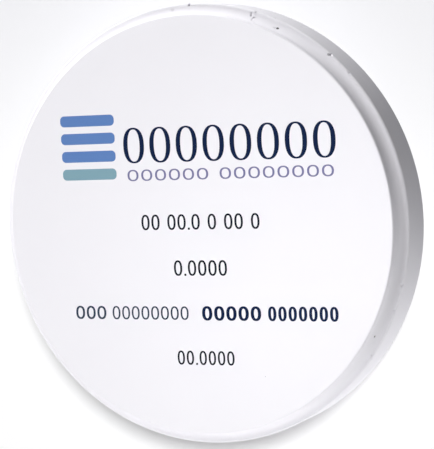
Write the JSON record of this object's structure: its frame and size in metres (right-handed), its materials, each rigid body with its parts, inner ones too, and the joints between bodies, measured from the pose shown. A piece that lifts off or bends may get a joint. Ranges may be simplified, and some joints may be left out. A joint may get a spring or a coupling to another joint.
{
  "type": "dental milling disc",
  "caption": "Round pre-sintered ceramic blank with a stepped rim: a wide collar for the mill's holder blends through coves into a narrower neck on each side.",
  "frame": {"origin": "centre of the plain lower face, which the disc lies on", "axes": "+Z along the disc's axis, from the plain face to the printed face; +Y towards the top of the print; +X to its right"},
  "size_m": [0.0984, 0.0984, 0.018],
  "materials": {
    "ceramic": "matte, chalky, unglazed"
  },
  "bodies": {
    "root": {"milling_disc": "ceramic"}
  },
  "joints": []
}
